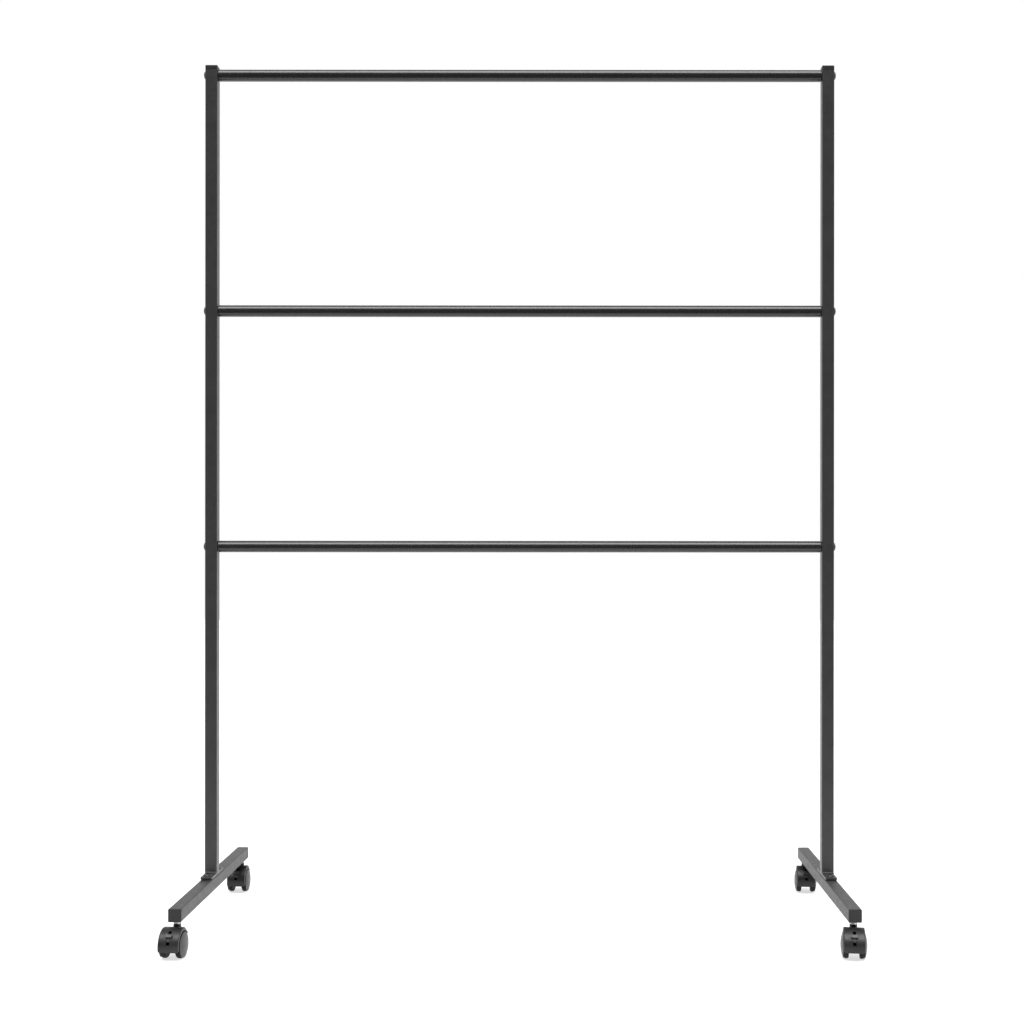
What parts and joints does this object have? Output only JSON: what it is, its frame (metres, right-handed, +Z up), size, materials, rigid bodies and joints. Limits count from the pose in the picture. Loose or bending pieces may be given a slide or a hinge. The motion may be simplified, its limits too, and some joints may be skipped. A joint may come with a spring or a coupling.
{
  "type": "pegboard display stand",
  "caption": "Rolling display frame: square-tube uprights on floor legs, round cross rails for pegboard panels, and hooded twin-wheel casters with brakes.",
  "frame": {"origin": "on the floor, under the middle of the stand's box with all casters trailing to the front; the uprights' plane is 16.1 mm behind it", "axes": "+Z up, +X to the stand's right seen from the front, front towards -Y; rails run along X, floor legs along Y"},
  "size_m": [1.3246, 0.6346, 1.767],
  "materials": {
    "powder_coat": "fine-textured semi-gloss black powder coat on steel tube",
    "black_screw": "black-coated steel, semi-gloss",
    "black_plastic": "moulded black nylon or polypropylene, fine grain",
    "wheel_plastic": "moulded black nylon wheel with a satin tread",
    "zinc_steel": "bright zinc-plated steel"
  },
  "bodies": {
    "frame": {"left_upright": "powder_coat", "left_upright_cap": "black_plastic", "left_leg": "powder_coat", "left_nut_strip": "zinc_steel", "left_leg_front_plug": "black_plastic", "left_foot_front_screw": "black_screw", "front_left_rivet_nut": "zinc_steel", "front_left_stem": "zinc_steel", "left_leg_rear_plug": "black_plastic", "left_foot_rear_screw": "black_screw", "rear_left_rivet_nut": "zinc_steel", "rear_left_stem": "zinc_steel", "right_upright": "powder_coat", "right_upright_cap": "black_plastic", "right_leg": "powder_coat", "right_nut_strip": "zinc_steel", "right_leg_front_plug": "black_plastic", "right_foot_front_screw": "black_screw", "front_right_rivet_nut": "zinc_steel", "front_right_stem": "zinc_steel", "right_leg_rear_plug": "black_plastic", "right_foot_rear_screw": "black_screw", "rear_right_rivet_nut": "zinc_steel", "rear_right_stem": "zinc_steel", "top_rail": "powder_coat", "top_rail_left_insert": "black_plastic", "top_rail_left_screw": "black_screw", "top_rail_right_insert": "black_plastic", "top_rail_right_screw": "black_screw", "middle_rail": "powder_coat", "middle_rail_left_insert": "black_plastic", "middle_rail_left_screw": "black_screw", "middle_rail_right_insert": "black_plastic", "middle_rail_right_screw": "black_screw", "bottom_rail": "powder_coat", "bottom_rail_left_insert": "black_plastic", "bottom_rail_left_screw": "black_screw", "bottom_rail_right_insert": "black_plastic", "bottom_rail_right_screw": "black_screw"},
    "front_left_caster": {"front_left_caster_body": "black_plastic", "front_left_axle": "zinc_steel"},
    "front_left_left_wheel": {"front_left_left_wheel": "wheel_plastic"},
    "front_left_right_wheel": {"front_left_right_wheel": "wheel_plastic"},
    "front_left_brake": {"front_left_brake_lever": "black_plastic"},
    "front_right_caster": {"front_right_caster_body": "black_plastic", "front_right_axle": "zinc_steel"},
    "front_right_left_wheel": {"front_right_left_wheel": "wheel_plastic"},
    "front_right_right_wheel": {"front_right_right_wheel": "wheel_plastic"},
    "front_right_brake": {"front_right_brake_lever": "black_plastic"},
    "rear_left_caster": {"rear_left_caster_body": "black_plastic", "rear_left_axle": "zinc_steel"},
    "rear_left_left_wheel": {"rear_left_left_wheel": "wheel_plastic"},
    "rear_left_right_wheel": {"rear_left_right_wheel": "wheel_plastic"},
    "rear_left_brake": {"rear_left_brake_lever": "black_plastic"},
    "rear_right_caster": {"rear_right_caster_body": "black_plastic", "rear_right_axle": "zinc_steel"},
    "rear_right_left_wheel": {"rear_right_left_wheel": "wheel_plastic"},
    "rear_right_right_wheel": {"rear_right_right_wheel": "wheel_plastic"},
    "rear_right_brake": {"rear_right_brake_lever": "black_plastic"}
  },
  "joints": [
    {"name": "front_left_swivel", "type": "hinge", "parent": "frame", "child": "front_left_caster", "pos_m": [-0.6375, -0.2639, 0.05], "axis": [0, 0, 1], "continuous": true},
    {"name": "front_left_left_wheel_roll", "type": "hinge", "parent": "front_left_caster", "child": "front_left_left_wheel", "pos_m": [-0.63942, -0.28381, 0.025], "axis": [0.9954, -0.0958, 0], "continuous": true},
    {"name": "front_left_right_wheel_roll", "type": "hinge", "parent": "front_left_caster", "child": "front_left_right_wheel", "pos_m": [-0.63942, -0.28381, 0.025], "axis": [0.9954, -0.0958, 0], "continuous": true},
    {"name": "front_left_brake_press", "type": "hinge", "parent": "front_left_caster", "child": "front_left_brake", "pos_m": [-0.64129, -0.30332, 0.03885], "axis": [0.9954, -0.0958, 0], "range_deg": [0, 16]},
    {"name": "front_right_swivel", "type": "hinge", "parent": "frame", "child": "front_right_caster", "pos_m": [0.6375, -0.2639, 0.05], "axis": [0, 0, 1], "continuous": true},
    {"name": "front_right_left_wheel_roll", "type": "hinge", "parent": "front_right_caster", "child": "front_right_left_wheel", "pos_m": [0.63472, -0.2837, 0.025], "axis": [0.9903, -0.1392, 0], "continuous": true},
    {"name": "front_right_right_wheel_roll", "type": "hinge", "parent": "front_right_caster", "child": "front_right_right_wheel", "pos_m": [0.63472, -0.2837, 0.025], "axis": [0.9903, -0.1392, 0], "continuous": true},
    {"name": "front_right_brake_press", "type": "hinge", "parent": "front_right_caster", "child": "front_right_brake", "pos_m": [0.63199, -0.30311, 0.03885], "axis": [0.9903, -0.1392, 0], "range_deg": [0, 16]},
    {"name": "rear_left_swivel", "type": "hinge", "parent": "frame", "child": "rear_left_caster", "pos_m": [-0.6375, 0.2961, 0.05], "axis": [0, 0, 1], "continuous": true},
    {"name": "rear_left_left_wheel_roll", "type": "hinge", "parent": "rear_left_caster", "child": "rear_left_left_wheel", "pos_m": [-0.63785, 0.2761, 0.025], "axis": [0.9998, -0.0175, 0], "continuous": true},
    {"name": "rear_left_right_wheel_roll", "type": "hinge", "parent": "rear_left_caster", "child": "rear_left_right_wheel", "pos_m": [-0.63785, 0.2761, 0.025], "axis": [0.9998, -0.0175, 0], "continuous": true},
    {"name": "rear_left_brake_press", "type": "hinge", "parent": "rear_left_caster", "child": "rear_left_brake", "pos_m": [-0.63819, 0.25651, 0.03885], "axis": [0.9998, -0.0175, 0], "range_deg": [0, 16]},
    {"name": "rear_right_swivel", "type": "hinge", "parent": "frame", "child": "rear_right_caster", "pos_m": [0.6375, 0.2961, 0.05], "axis": [0, 0, 1], "continuous": true},
    {"name": "rear_right_left_wheel_roll", "type": "hinge", "parent": "rear_right_caster", "child": "rear_right_left_wheel", "pos_m": [0.63576, 0.27618, 0.025], "axis": [0.9962, -0.0872, 0], "continuous": true},
    {"name": "rear_right_right_wheel_roll", "type": "hinge", "parent": "rear_right_caster", "child": "rear_right_right_wheel", "pos_m": [0.63576, 0.27618, 0.025], "axis": [0.9962, -0.0872, 0], "continuous": true},
    {"name": "rear_right_brake_press", "type": "hinge", "parent": "rear_right_caster", "child": "rear_right_brake", "pos_m": [0.63405, 0.25665, 0.03885], "axis": [0.9962, -0.0872, 0], "range_deg": [0, 16]}
  ]
}
